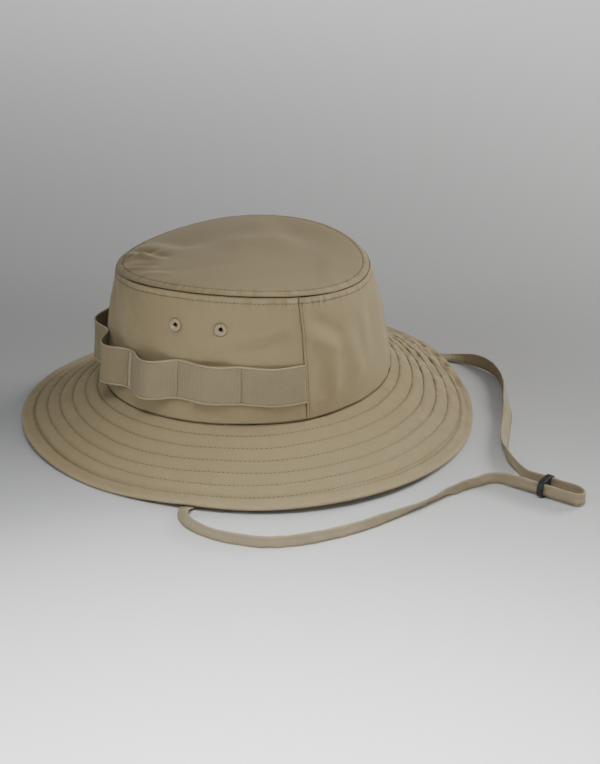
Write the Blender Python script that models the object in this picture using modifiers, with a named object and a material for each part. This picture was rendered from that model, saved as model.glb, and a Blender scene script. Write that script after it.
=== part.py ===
# Wide-brimmed soft sun hat with a chin strap, lying on its brim.
# Metres, +Z up. The front of the hat is -Y and the wearer's left side is +X.
# The origin is at the bottom centre of the hat, on the surface that its brim rests on.

import math

import bmesh
import bpy
from mathutils import Matrix, Vector

# Crown
HEAD_WIDTH = 0.169          # oval at the foot of the crown, side to side
HEAD_LENGTH = 0.203         # the same oval, front to back
CROWN_FOOT = 0.0360         # height of the seam between crown and brim
TIP_WIDTH = 0.1606          # oval of the seam round the top panel
TIP_LENGTH = 0.1746
TIP_SEAM = 0.1175           # mean height of that seam
TIP_SHIFT = Vector((-0.0015, -0.0035, 0.0))
TIP_DOME = 0.0095           # rise of the top panel above its seam
WALL_BULGE = 0.0025
CLOTH = 0.0008              # thickness of each crown panel
FOOT_WAVES = ((2, 0.0030, 118),)
TIP_WAVES = ((1, 0.0072, -41), (2, 0.0044, -45))

# Brim
BRIM_REACH = 0.0595         # mean distance from the crown's foot to the edge, seen from above
REACH_WAVES = ((1, 0.0030, 90), (2, 0.0042, 25), (3, 0.0041, 7))
BRIM_EDGE = 0.0026          # mean height of the edge of the under cloth
EDGE_WAVES = ((3, 0.0029, 2),)
STRAP_LIFTS = ((-42, 0.0036, 8), (96, 0.0014, 9))   # where the edge rides up over the strap
HEM = 0.0050                # flat margin along the brim's edge
BRIM_DROOP = 0.16
BRIM_CLOTH = 0.0007
INTERLINING = 0.0008
SLOPE_ALLOWANCE = 1.30      # vertical spacing of stacked layers on the sloping brim

# Inside of the crown
SWEATBAND_HEIGHT = 0.030
SWEATBAND = 0.0010
TAPE_WIDTH = 0.012
TAPE = 0.0006

# Webbing round the crown
WEBBING_HEIGHT = 0.0285
WEBBING_FOOT = 0.0135       # height of its lower edge above the crown's foot
WEBBING = 0.0012
LOOP_BULGES = (0.0015, 0.0035, 0.0075, 0.0088, 0.0075, 0.0035, 0.0015)

# Eyelets
EYELET_ANGLES = (-54, -34, -126, -146)
EYELET_NAMES = ("left_front", "left_rear", "right_front", "right_rear")
EYELET_RISE = 0.75          # share of the crown's wall below them
EYELET_RADIUS = 0.0039
EYELET_HOLE = 0.0014
BARREL_WALL = 0.0008
EYELET_HEIGHT = 0.0010
WASHER = 0.0006

# Chin strap and its slider
STRAP_WIDTH = 0.0086
STRAP = 0.0016
SLIDER_CENTRE = Vector((0.1937, 0.1213, 0.0064))
SLIDER_HEADING = 29         # direction of the strap through it, from +X towards +Y
SLIDER_LENGTH = 0.0190
SLIDER_THICKNESS = 0.0030
SLIDER_RIM = 0.0015         # material above and below each slot
SLIDER_EDGE = 0.0004        # rounding of its edges
SLOT_SPACING = 0.0108
SLOT_WIDTH = 0.0032

# Fits
GAP = 0.0003                # between pieces that touch
SEGMENTS = 60               # round the hat


# ---------------------------------------------------------------- form of the hat

def ripple(angle, waves):
    """Sum of waves round the hat, each with its order, height and crest in degrees."""
    return sum(height * math.cos(order * (angle - math.radians(crest)))
               for order, height, crest in waves)


def foot_point(angle):
    return Vector((HEAD_WIDTH / 2 * math.cos(angle), HEAD_LENGTH / 2 * math.sin(angle),
                   CROWN_FOOT + ripple(angle, FOOT_WAVES)))


def tip_point(angle):
    seam = Vector((TIP_WIDTH / 2 * math.cos(angle), TIP_LENGTH / 2 * math.sin(angle),
                   TIP_SEAM + ripple(angle, TIP_WAVES)))
    return seam + TIP_SHIFT


def brim_centre():
    """Middle of the brim's outline, which the finished hat is centred on."""
    edge = [brim_point(math.tau * i / SEGMENTS, 1.0, 0.0) for i in range(SEGMENTS)]
    return Vector(((max(p.x for p in edge) + min(p.x for p in edge)) / 2,
                   (max(p.y for p in edge) + min(p.y for p in edge)) / 2, 0.0))


def outward(angle):
    return Vector((math.cos(angle) / HEAD_WIDTH, math.sin(angle) / HEAD_LENGTH, 0)).normalized()


def wall_point(angle, share, offset=0.0):
    """Point on the crown's wall, from its foot (share 0) to the tip seam (share 1)."""
    bulge = WALL_BULGE * math.sin(math.pi * min(max(share, 0.0), 1.0))
    return foot_point(angle).lerp(tip_point(angle), share) + outward(angle) * (bulge + offset)


def wall_share(angle, height):
    """Share of the wall at a height above its foot, measured along the wall."""
    return height / (tip_point(angle) - foot_point(angle)).length


def wall_normal(angle, share):
    along = wall_point(angle + 0.01, share) - wall_point(angle - 0.01, share)
    up = wall_point(angle, share + 0.01) - wall_point(angle, share - 0.01)
    return along.cross(up).normalized()


def strap_lift(angle):
    turn = 0.0
    for crest, height, spread in STRAP_LIFTS:
        away = math.remainder(angle - math.radians(crest), math.tau) / math.radians(spread)
        turn += height * math.exp(-away * away)
    return turn


def brim_reach(angle):
    return BRIM_REACH + ripple(angle, REACH_WAVES)


def brim_point(angle, share, level):
    """Point on the brim from the crown (share 0) to its edge (share 1), level above the under cloth."""
    reach = brim_reach(angle)
    under_foot = foot_point(angle).z - brim_stack()
    edge = max(BRIM_EDGE + ripple(angle, EDGE_WAVES) + strap_lift(angle), BRIM_CLOTH / 2)
    hem_share = 1 - HEM / reach
    run = min(share / hem_share, 1.0)
    run += BRIM_DROOP * run * (1 - run)
    return Vector(((HEAD_WIDTH / 2 + reach * share) * math.cos(angle),
                   (HEAD_LENGTH / 2 + reach * share) * math.sin(angle),
                   under_foot + (edge - under_foot) * run + level))


def interlining_level():
    return (BRIM_CLOTH / 2 + GAP + INTERLINING / 2) * SLOPE_ALLOWANCE


def upper_level():
    return 2 * interlining_level()


def brim_stack():
    """Height from the middle of the under cloth to the crown's foot, above the upper cloth."""
    return upper_level() + BRIM_CLOTH / 2 * SLOPE_ALLOWANCE + GAP


# ---------------------------------------------------------------- making pieces

def clear_scene():
    for old in list(bpy.data.objects):
        bpy.data.objects.remove(old)


def new_collection(name):
    made = bpy.data.collections.new(name)
    bpy.context.scene.collection.children.link(made)
    return made


def new_material(name, colour, roughness, metallic=0.0):
    made = bpy.data.materials.new(name)
    made.use_nodes = True
    shader = made.node_tree.nodes["Principled BSDF"]
    shader.inputs["Base Color"].default_value = (*colour, 1)
    shader.inputs["Roughness"].default_value = roughness
    shader.inputs["Metallic"].default_value = metallic
    return made


def add_piece(name, data, collection, material):
    piece = bpy.data.objects.new(name, data)
    data.materials.append(material)
    collection.objects.link(piece)
    return piece


def spun_sheet(name, shares, place, collection, material, thickness, start=0.0, sweep=math.tau, steps=None):
    """Sheet swept round the hat: a row of shares is spun, then each point is put in its place."""
    steps = steps or max(1, round(SEGMENTS * sweep / math.tau))
    whole = sweep > math.tau - 1e-6
    sheet = bmesh.new()
    row = [sheet.verts.new((1 + share, 0, 0)) for share in shares]
    edges = [sheet.edges.new(pair) for pair in zip(row, row[1:])]
    bmesh.ops.spin(sheet, geom=row + edges, axis=(0, 0, 1), cent=(0, 0, 0), angle=sweep, steps=steps,
                   use_merge=whole)
    for vert in sheet.verts:
        turned = math.atan2(vert.co.y, vert.co.x) % math.tau
        if not whole and turned > sweep + 0.1:
            turned -= math.tau
        vert.co = place(start + turned, vert.co.xy.length - 1)
    bmesh.ops.recalc_face_normals(sheet, faces=sheet.faces)
    mesh = bpy.data.meshes.new(name)
    sheet.to_mesh(mesh)
    sheet.free()
    mesh.shade_smooth()
    piece = add_piece(name, mesh, collection, material)
    shell = piece.modifiers.new("thickness", "SOLIDIFY")
    shell.thickness = thickness
    shell.offset = 0
    shell.use_even_offset = True
    shell.use_quality_normals = True
    return piece


def turned_piece(name, profile, collection, material, steps):
    """Ring turned about its own Z axis from a closed profile of (radius, height) points."""
    mesh = bpy.data.meshes.new(name)
    count = len(profile)
    mesh.from_pydata([(radius, 0, height) for radius, height in profile],
                     [(i, (i + 1) % count) for i in range(count)], [])
    piece = add_piece(name, mesh, collection, material)
    screw = piece.modifiers.new("turn", "SCREW")
    screw.steps = steps
    screw.render_steps = steps
    screw.use_merge_vertices = True
    screw.merge_threshold = 0.0001
    return piece


def evenly(count, low=0.0, high=1.0):
    return [low + (high - low) * i / count for i in range(count + 1)]


# ---------------------------------------------------------------- crown

def make_tip(collection, material):
    """Domed top panel, which covers the upper edge of the wall."""
    seat = GAP + CLOTH / 2
    centre = Vector((0, 0, TIP_SEAM)) + TIP_SHIFT

    def place(angle, share):
        rim = tip_point(angle) + outward(angle) * (CLOTH / 2)
        point = centre.lerp(rim, share)
        return point + Vector((0, 0, seat + TIP_DOME * (1 - share ** 2.4)))

    rings = [0.12, 0.40, 0.65, 0.85, 1.0]
    tip = spun_sheet("crown_tip", rings, place, collection, material, CLOTH)
    middle = bmesh.new()
    middle.from_mesh(tip.data)
    hole = [edge for edge in middle.edges if edge.is_boundary and edge.calc_length() < 0.004]
    bmesh.ops.contextual_create(middle, geom=hole)
    bmesh.ops.recalc_face_normals(middle, faces=middle.faces)
    middle.to_mesh(tip.data)
    middle.free()
    return tip


def make_wall_panel(name, start, collection, material):
    """Half of the crown's wall, from one side seam to the other."""
    inset = GAP / 2 / (HEAD_WIDTH / 2)
    panel = spun_sheet(name, evenly(6), wall_point, collection, material, CLOTH,
                       start + inset, math.pi - 2 * inset)
    return panel


def eyelet_frame(angle):
    """Place of an eyelet on the wall, with its own Z axis out of the cloth."""
    normal = wall_normal(angle, EYELET_RISE)
    turn = normal.to_track_quat("Z", "Y").to_matrix().to_4x4()
    return Matrix.Translation(wall_point(angle, EYELET_RISE)) @ turn


def barrel_radius():
    return EYELET_HOLE + BARREL_WALL


def make_eyelets(collection, cutters, panel, paint, metal):
    """Painted ring and barrel through the cloth, and a washer that holds it inside."""
    face = CLOTH / 2 + GAP
    crest = face + EYELET_HEIGHT
    tail = -(CLOTH / 2 + GAP + WASHER + GAP)
    ring = [(EYELET_HOLE, crest - 0.0004), (EYELET_HOLE + 0.0006, crest), (EYELET_RADIUS - 0.0007, crest),
            (EYELET_RADIUS, face + 0.0003), (EYELET_RADIUS - 0.0001, face), (barrel_radius(), face),
            (barrel_radius(), tail), (EYELET_HOLE, tail)]
    bore = barrel_radius() + GAP
    washer = [(bore, -face), (EYELET_RADIUS, -face), (EYELET_RADIUS, -face - WASHER), (bore, -face - WASHER)]
    for name, degrees in zip(EYELET_NAMES, EYELET_ANGLES):
        frame = eyelet_frame(math.radians(degrees))
        turned_piece("eyelet_" + name, ring, collection, paint, 16).matrix_world = frame
        turned_piece("washer_" + name, washer, collection, metal, 16).matrix_world = frame
        cut_hole(panel, "eyelet_hole_" + name, bore, frame, cutters)


def cut_hole(panel, name, radius, frame, cutters):
    drill = bmesh.new()
    bmesh.ops.create_cone(drill, cap_ends=True, segments=16, radius1=radius, radius2=radius, depth=0.01)
    mesh = bpy.data.meshes.new(name)
    drill.to_mesh(mesh)
    drill.free()
    cutter = bpy.data.objects.new(name, mesh)
    cutters.objects.link(cutter)
    add_cut(panel, cutter, frame)


def add_cut(piece, cutter, frame):
    cutter.matrix_world = frame
    cutter.hide_render = True
    cutter.display_type = "WIRE"
    cut = piece.modifiers.new(cutter.name, "BOOLEAN")
    cut.object = cutter
    cut.operation = "DIFFERENCE"


def sweatband_offset():
    return -(CLOTH / 2 + GAP + SWEATBAND / 2)


def make_sweatband(collection, material):
    def place(angle, share):
        return wall_point(angle, wall_share(angle, share * SWEATBAND_HEIGHT), sweatband_offset())

    return spun_sheet("sweatband", evenly(2), place, collection, material, SWEATBAND)


def tape_offset():
    return -(CLOTH / 2 + GAP + TAPE / 2)


def make_seam_tapes(collection, material):
    """Binding round the tip seam, and one down each side seam as far as the sweatband."""
    margin = 0.0010

    def round_tip(angle, share):
        low = 1 - wall_share(angle, margin + TAPE_WIDTH)
        high = 1 - wall_share(angle, margin)
        return wall_point(angle, low + (high - low) * share, tape_offset())

    spun_sheet("crown_seam_tape", evenly(1), round_tip, collection, material, TAPE)

    half = TAPE_WIDTH / 2 / (HEAD_WIDTH / 2) * 0.8
    for name, middle in (("left_seam_tape", 0.0), ("right_seam_tape", math.pi)):

        def down_side(angle, share):
            low = wall_share(angle, SWEATBAND_HEIGHT + 2 * GAP)
            high = 1 - wall_share(angle, margin + TAPE_WIDTH + 2 * GAP)
            return wall_point(angle, low + (high - low) * share, tape_offset())

        spun_sheet(name, evenly(4), down_side, collection, material, TAPE, middle - half, 2 * half, 4)


def loop_gap(turned):
    """Inner face of the webbing off the wall, at an angle from the right side seam round the front."""
    pitch = math.pi / len(LOOP_BULGES)
    loop = min(int(turned / pitch), len(LOOP_BULGES) - 1)
    return GAP + LOOP_BULGES[loop] * math.sin(math.pi * (turned / pitch - loop)) ** 2


def make_loop_band(collection, material):
    """Webbing round the front, sewn down between its loops, which stand off the cloth."""
    inset = 2 * GAP / (HEAD_WIDTH / 2)
    start = -math.pi + inset
    sweep = math.pi - 2 * inset

    def place(angle, share):
        height = WEBBING_FOOT + WEBBING_HEIGHT * share
        turned = (angle - start) / sweep * math.pi
        clear = CLOTH / 2 + loop_gap(turned) + WEBBING / 2
        return wall_point(angle, wall_share(angle, height), clear)

    return spun_sheet("loop_band", evenly(2), place, collection, material, WEBBING, start, sweep,
                      len(LOOP_BULGES) * 8)


# ---------------------------------------------------------------- brim

def make_brim(collection, cloth, filling):
    """Upper and under cloth with the stiff interlining between them."""
    def hem_rows(angle_reach, margin):
        inner = [0.0, 0.25, 0.50, 0.75]
        return inner + [1 - HEM / angle_reach, 1 - margin / angle_reach]

    layers = (("brim_under_cloth", 0.0, 0.0, BRIM_CLOTH, cloth),
              ("brim_interlining", interlining_level(), 0.0020, INTERLINING, filling),
              ("brim_upper_cloth", upper_level(), 0.0, BRIM_CLOTH, cloth))
    for name, level, margin, thickness, material in layers:
        rows = hem_rows(BRIM_REACH, margin)

        def place(angle, share):
            at = share
            if share > 0.80:
                reach = brim_reach(angle)
                at = 1 - (1 - share) * BRIM_REACH / reach
            return brim_point(angle, at, level)

        spun_sheet(name, rows, place, collection, material, thickness)


# ---------------------------------------------------------------- strap and slider

def strap_place(along, across, up=0.0):
    heading = math.radians(SLIDER_HEADING)
    forward = Vector((math.cos(heading), math.sin(heading), 0))
    sideways = Vector((-math.sin(heading), math.cos(heading), 0))
    return SLIDER_CENTRE + forward * along + sideways * across + Vector((0, 0, up))


def rounded_outline(width, height, radius, steps=6):
    """Outline of a rounded rectangle about the origin, as corner arcs."""
    points = []
    for corner in range(4):
        turn = corner * math.pi / 2
        right = 1 if corner in (0, 3) else -1
        top = 1 if corner in (0, 1) else -1
        for i in range(steps + 1):
            angle = turn + math.pi / 2 * i / steps
            points.append((right * (width / 2 - radius) + radius * math.cos(angle),
                           top * (height / 2 - radius) + radius * math.sin(angle)))
    return points


def upright_slab(name, outline, depth):
    """Slab of an outline in its own XY plane, half of its depth on each side."""
    slab = bmesh.new()
    face = slab.faces.new([slab.verts.new((x, y, -depth / 2)) for x, y in outline])
    grown = bmesh.ops.extrude_face_region(slab, geom=[face])
    raised = [item for item in grown["geom"] if isinstance(item, bmesh.types.BMVert)]
    bmesh.ops.translate(slab, verts=raised, vec=(0, 0, depth))
    bmesh.ops.recalc_face_normals(slab, faces=slab.faces)
    mesh = bpy.data.meshes.new(name)
    slab.to_mesh(mesh)
    slab.free()
    return mesh


def make_slider(collection, cutters, material):
    """Oval slider with one slot for each leg of the strap."""
    slot_height = STRAP_WIDTH + 2 * GAP
    height = slot_height + 2 * SLIDER_RIM
    heading = math.radians(SLIDER_HEADING)
    across = Vector((-math.sin(heading), math.cos(heading), 0))
    up = Vector((0, 0, 1))
    turn = Matrix((across, up, across.cross(up))).transposed().to_4x4()
    frame = Matrix.Translation(SLIDER_CENTRE) @ turn
    body = upright_slab("strap_slider", rounded_outline(SLIDER_LENGTH, height, height / 2 - GAP), SLIDER_THICKNESS)
    slider = add_piece("strap_slider", body, collection, material)
    slider.matrix_world = frame
    for side in (-1, 1):
        slot = [(x + side * SLOT_SPACING / 2, y) for x, y in
                rounded_outline(SLOT_WIDTH, slot_height, SLOT_WIDTH / 4, 2)]
        cutter = bpy.data.objects.new("slot", upright_slab("slot", slot, 2 * SLIDER_THICKNESS))
        cutters.objects.link(cutter)
        add_cut(slider, cutter, frame)
    rounding = slider.modifiers.new("rounded edges", "BEVEL")
    rounding.width = SLIDER_EDGE
    rounding.segments = 2
    rounding.limit_method = "ANGLE"
    return slider


def on_table(x, y, tilt=0, raised=0.0):
    """Route point of the strap lying on the surface: tilt 0 stands on edge, 90 lies flat."""
    half = STRAP / 2 + (STRAP_WIDTH - STRAP) / 2 * math.cos(math.radians(tilt))
    twist = 0.0002 * abs(math.sin(math.radians(2 * tilt)))
    return (x, y, GAP + half + twist + raised, tilt)


def in_slider(along, across, lowered=0.0):
    """Route point of the strap where it runs straight through the slider, on edge."""
    place = strap_place(along, across, -lowered)
    return (*place, 0)


def strap_route():
    """Points along the strap, each with its tilt in degrees."""
    slot = SLOT_SPACING / 2
    rise = 0.6 * (SLIDER_CENTRE.z - GAP - STRAP_WIDTH / 2)
    left_seam = [(0.0825, 0.0000, 0.0290, 0), (0.0825, -0.0080, 0.0205, -10), (0.0836, -0.0200, 0.0120, -40),
                 (0.0862, -0.0360, 0.0055, -75), (0.0903, -0.0565, 0.0020, -90)]
    near = [on_table(0.0955, -0.0790, -90), on_table(0.1015, -0.0950, -90, 0.0004), on_table(0.1110, -0.1040, -55),
            on_table(0.1255, -0.1068, -16), on_table(0.1430, -0.1003), on_table(0.1580, -0.0880),
            on_table(0.1705, -0.0725), on_table(0.1780, -0.0500), on_table(0.1805, -0.0260),
            on_table(0.1798, -0.0020), on_table(0.1770, 0.0180), on_table(0.1725, 0.0400),
            on_table(0.1672, 0.0640), on_table(0.1655, 0.0850), on_table(0.1692, 0.0995, 0, rise)]
    through = [in_slider(along, -slot) for along in (-0.016, -0.008, 0.0, 0.010, 0.020)]
    loop = [in_slider(0.0255, -0.0042, 0.0006), in_slider(0.0282, 0.0, 0.0008), in_slider(0.0255, 0.0042, 0.0006)]
    back = [in_slider(along, slot) for along in (0.020, 0.010, 0.0, -0.008, -0.016)]
    far = [on_table(0.1685, 0.1184, 0, rise), on_table(0.1550, 0.1207), on_table(0.1417, 0.1240, -4),
           on_table(0.1256, 0.1321, -38), on_table(0.1065, 0.1454, -46), on_table(0.0908, 0.1565, -44),
           on_table(0.0737, 0.1655, -24), on_table(0.0543, 0.1761, -4), on_table(0.0341, 0.1825),
           on_table(0.0162, 0.1810, 20), on_table(0.0010, 0.1735, 60), on_table(-0.0105, 0.1638, 88),
           on_table(-0.0225, 0.1510, 90), on_table(-0.0370, 0.1305, 90), on_table(-0.0505, 0.1060, 90),
           on_table(-0.0620, 0.0790, 90)]
    right_seam = [(-0.0710, 0.0560, 0.0024, 88), (-0.0775, 0.0360, 0.0065, 70), (-0.0815, 0.0180, 0.0135, 38),
                  (-0.0825, 0.0075, 0.0215, 10), (-0.0825, 0.0000, 0.0290, 0)]
    return left_seam + near + through + loop + back + far + right_seam


def smooth_points(route, count):
    """Evenly spaced points on a Catmull-Rom curve through the route."""
    ends = [route[0]] + list(route) + [route[-1]]
    fine = []
    for before, start, end, after in zip(ends, ends[1:], ends[2:], ends[3:]):
        for i in range(12):
            t = i / 12
            fine.append([0.5 * (2 * b + (c - a) * t + (2 * a - 5 * b + 4 * c - d) * t * t
                                + (3 * b - a - 3 * c + d) * t ** 3)
                         for a, b, c, d in zip(before, start, end, after)])
    fine.append(list(route[-1]))
    walked = [0.0]
    for start, end in zip(fine, fine[1:]):
        walked.append(walked[-1] + math.dist(start[:3], end[:3]))
    points = []
    at = 0
    for i in range(count):
        goal = walked[-1] * i / (count - 1)
        while at < len(walked) - 2 and walked[at + 1] < goal:
            at += 1
        part = (goal - walked[at]) / max(walked[at + 1] - walked[at], 1e-9)
        points.append([a + (b - a) * part for a, b in zip(fine[at], fine[at + 1])])
    return points


def make_strap(collection, material):
    """Flat strap from the left side seam, through the slider and back to the right side seam."""
    points = smooth_points(strap_route(), 80)
    ribbon = bpy.data.curves.new("chin_strap", "CURVE")
    ribbon.dimensions = "3D"
    ribbon.twist_mode = "Z_UP"
    ribbon.bevel_depth = STRAP / 2
    ribbon.extrude = STRAP_WIDTH / 2 - STRAP / 2
    ribbon.bevel_resolution = 2
    ribbon.use_fill_caps = True
    spline = ribbon.splines.new("POLY")
    spline.points.add(len(points) - 1)
    for point, (x, y, z, tilt) in zip(spline.points, points):
        point.co = (x, y, z, 1)
        point.tilt = math.radians(tilt)
    return add_piece("chin_strap", ribbon, collection, material)


def stand_on_origin(*collections):
    """Every piece hangs on an empty that brings the middle of the brim's outline to the origin."""
    place = bpy.data.objects.new("hat_place", None)
    bpy.context.scene.collection.objects.link(place)
    place.location = -brim_centre()
    for collection in collections:
        for piece in collection.objects:
            piece.parent = place


def build():
    clear_scene()
    hat = new_collection("boonie_hat")
    cutters = new_collection("cutters")
    tan = new_material("tan cloth", (0.42, 0.35, 0.24), 0.9)
    webbing = new_material("tan webbing", (0.38, 0.32, 0.22), 0.85)
    lining = new_material("sweatband cloth", (0.36, 0.31, 0.22), 0.9)
    tape = new_material("seam tape", (0.33, 0.28, 0.20), 0.9)
    filling = new_material("interlining", (0.55, 0.52, 0.46), 0.95)
    paint = new_material("eyelet paint", (0.36, 0.30, 0.21), 0.45)
    metal = new_material("washer metal", (0.45, 0.42, 0.36), 0.4, 1.0)
    rubber = new_material("black rubber", (0.02, 0.02, 0.02), 0.55)

    make_tip(hat, tan)
    front = make_wall_panel("front_side_panel", -math.pi, hat, tan)
    make_wall_panel("rear_side_panel", 0.0, hat, tan)
    make_eyelets(hat, cutters, front, paint, metal)
    make_loop_band(hat, webbing)
    make_sweatband(hat, lining)
    make_seam_tapes(hat, tape)
    make_brim(hat, tan, filling)
    make_strap(hat, tan)
    make_slider(hat, cutters, rubber)
    stand_on_origin(hat, cutters)
    bpy.context.view_layer.update()


build()
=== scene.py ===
import math
import bpy
import bmesh
import numpy as np
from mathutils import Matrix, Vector


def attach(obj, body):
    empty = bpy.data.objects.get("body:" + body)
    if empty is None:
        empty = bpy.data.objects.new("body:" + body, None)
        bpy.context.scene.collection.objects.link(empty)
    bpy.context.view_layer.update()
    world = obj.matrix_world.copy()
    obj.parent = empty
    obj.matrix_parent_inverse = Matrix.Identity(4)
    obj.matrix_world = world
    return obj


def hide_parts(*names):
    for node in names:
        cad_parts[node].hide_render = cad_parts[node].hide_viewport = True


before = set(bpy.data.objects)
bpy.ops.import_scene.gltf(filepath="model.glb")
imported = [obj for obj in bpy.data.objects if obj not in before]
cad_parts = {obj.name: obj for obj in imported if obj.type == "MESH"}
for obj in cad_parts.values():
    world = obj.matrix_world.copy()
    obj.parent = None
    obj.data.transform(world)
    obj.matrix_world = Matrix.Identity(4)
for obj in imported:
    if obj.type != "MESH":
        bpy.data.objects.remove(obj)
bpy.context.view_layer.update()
print("frame loaded:", len(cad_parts), "nodes")

mm = 0.001
fullTurn = 2 * math.pi
wallRadius = 0.095  # these five turn an angle or a share into metres of cloth
bandRadius = 0.093
tapeRadius = 0.086
tipRadius = 0.0838
brimRadius = 0.12

# The crown's own centre line, measured from the middle of the hat's footprint.
crownPlace = np.array((-0.004, -0.001, 0.0))


def show(name, data):
    made = bpy.data.objects.new(name, data)
    bpy.context.scene.collection.objects.link(made)
    return made


viewSettings = {
    "azimuth": 62.5,
    "elevation": 27.1,
    "distance": 1.6,
    "lens": 107.5,
    "target": (0.0121, 0.03, 0.0239),
}


def makeView():
    turn = math.radians(viewSettings["azimuth"])
    lift = math.radians(viewSettings["elevation"])
    back = Vector((math.sin(turn) * math.cos(lift), -math.cos(turn) * math.cos(lift), math.sin(lift)))
    camera = show("view", bpy.data.cameras.new("view"))
    camera.location = Vector(viewSettings["target"]) + back * viewSettings["distance"]
    camera.rotation_euler = back.to_track_quat("Z", "Y").to_euler()
    camera.data.lens = viewSettings["lens"]
    camera.data.sensor_width = 36
    camera.data.sensor_fit = "AUTO"
    bpy.context.scene.camera = camera


makeView()
print("view placed")


def ripple(angle, waves):  # each wave is its order round the hat, its height, and its crest in degrees
    return sum(height * np.cos(order * (angle - math.radians(crest))) for order, height, crest in waves)


def bell(away, width):
    return np.exp(-(away / width) ** 2)


def localBumps(angle, bumps):  # each bump is its crest in degrees, its height, and its spread in degrees
    total = np.zeros_like(angle)
    for crest, height, spread in bumps:
        away = (angle - math.radians(crest) + math.pi) % fullTurn - math.pi
        total = total + height * bell(away, math.radians(spread))
    return total


def softNoise(around, across, cellsAround, cellsAcross, seed):
    # smooth heights between -1 and 1, which meet where around goes from 1 back to 0
    heights = np.random.default_rng(seed).uniform(-1, 1, (cellsAround, cellsAcross + 2))
    x = (around % 1) * cellsAround
    y = np.clip(across, 0, 1) * cellsAcross
    i = np.floor(x).astype(int) % cellsAround
    j = np.floor(y).astype(int)
    s = x - np.floor(x)
    t = y - j
    s = s * s * (3 - 2 * s)
    t = t * t * (3 - 2 * t)
    nextI = (i + 1) % cellsAround
    low = heights[i, j] * (1 - s) + heights[nextI, j] * s
    high = heights[i, j + 1] * (1 - s) + heights[nextI, j + 1] * s
    return low * (1 - t) + high * t


def unit(vectors):
    return vectors / np.maximum(np.linalg.norm(vectors, axis=-1, keepdims=True), 1e-12)


def grid(first, second):
    return np.meshgrid(first, second, indexing="ij")


def edgedRows(edge, fine, coarse):  # shares across a strip, closer together near its two edges
    return np.concatenate((np.linspace(0, edge, fine), np.linspace(edge, 1 - edge, coarse)[1:-1],
                           np.linspace(1 - edge, 1, fine)))


def circle(count):
    return np.arange(count) * fullTurn / count


def distances(points):  # how far along the line each of its points is
    return np.concatenate(((0,), np.cumsum(np.linalg.norm(np.diff(points, axis=0), axis=1))))


def fold(along, across, start, end, width, rise):
    # a crease from start to end: a ridge with a shallow valley on one side, fading at both ends
    start = np.array(start, float)
    run = np.array(end, float) - start
    length = np.linalg.norm(run)
    run = run / length
    down = ((along - start[0]) * run[0] + (across - start[1]) * run[1]) / length
    beside = (-(along - start[0]) * run[1] + (across - start[1]) * run[0]) / width
    fade = np.clip(np.minimum(down, 1 - down) * 2.6 + 0.25, 0, 1)
    fade = fade * fade * (3 - 2 * fade)
    return rise * fade * (np.exp(-beside ** 2) - 0.75 * np.exp(-(beside - 1.5) ** 2))


def newPiece(name, points, faces, material):
    mesh = bpy.data.meshes.new(name)
    mesh.from_pydata(points.tolist(), [], faces)
    mesh.validate()
    mesh.polygons.foreach_set("use_smooth", [True] * len(mesh.polygons))
    mesh.materials.append(material)
    piece = show(name, mesh)
    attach(piece, "hat")
    return piece


def capRims(piece, rims=()):
    # a face is put across each open rim, and all faces are turned to look out
    mesh = bmesh.new()
    mesh.from_mesh(piece.data)
    mesh.verts.ensure_lookup_table()
    for rim in rims:
        mesh.faces.new([mesh.verts[i] for i in rim])
    bmesh.ops.recalc_face_normals(mesh, faces=mesh.faces)
    mesh.to_mesh(piece.data)
    mesh.free()


def gridFaces(rows, columns, closed):
    i, j = grid(np.arange(rows if closed else rows - 1), np.arange(columns - 1))
    nextI = (i + 1) % rows
    return np.stack((i * columns + j, nextI * columns + j, nextI * columns + j + 1, i * columns + j + 1), -1)


def addClothMap(piece, faces, along, across, shade, wrap):
    # where each face corner lies on the flat cloth, in metres, and how rubbed it is there along with the
    # painted light and shade on it
    corners = np.array(faces)
    values = np.stack((along.ravel()[corners], across.ravel()[corners], shade.ravel()[corners]), -1)
    if wrap:
        values[..., 0] += np.where(values[..., 0].max(-1, keepdims=True) - values[..., 0] > wrap / 2, wrap, 0)
    made = piece.data.attributes.new("clothMap", "FLOAT_VECTOR", "CORNER")
    made.data.foreach_set("vector", values.reshape(-1))


def thicken(piece, thickness):
    solid = piece.modifiers.new("thickness", "SOLIDIFY")
    solid.thickness, solid.offset = thickness, -1


def clothGrid(name, node, points, along, across, shade, material, thickness, wrap=0, keep=None,
              flip=False):
    # one layer of cloth over a grid of points; with a wrap, which is its length, it closes into a ring
    rows, columns = points.shape[:2]
    faces = gridFaces(rows, columns, wrap > 0)
    if keep:
        faces = faces[keep(faces)]
    faces = faces.reshape(-1, 4)
    if flip:
        faces = faces[:, ::-1]
    used = np.unique(faces)
    order = np.full(rows * columns, -1)
    order[used] = np.arange(len(used))
    faces = order[faces]
    piece = newPiece(name, points.reshape(-1, 3)[used] + crownPlace, faces.tolist(), material)
    addClothMap(piece, faces, along.reshape(-1)[used], across.reshape(-1)[used], shade.reshape(-1)[used], wrap)
    thicken(piece, thickness)
    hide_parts(node)


def pathNormals(surface, angles, across, step=0.0015):
    # points on a surface and the way it faces there
    onward = surface(angles + step * 5, across) - surface(angles - step * 5, across)
    upward = surface(angles, across + step) - surface(angles, across - step)
    return surface(angles, across), unit(np.cross(onward, upward))


def facingUp(normals):
    return np.where(normals[:, 2:3] < 0, -normals, normals)


# along the stitch, share of the full width, and how far it stands up
threadRings = ((0.0, 0.3, -0.9), (0.13, 0.85, 0.0), (0.5, 1.0, 1.0), (0.87, 0.85, 0.0), (1.0, 0.3, -0.9))
threadSides = 6


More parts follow.
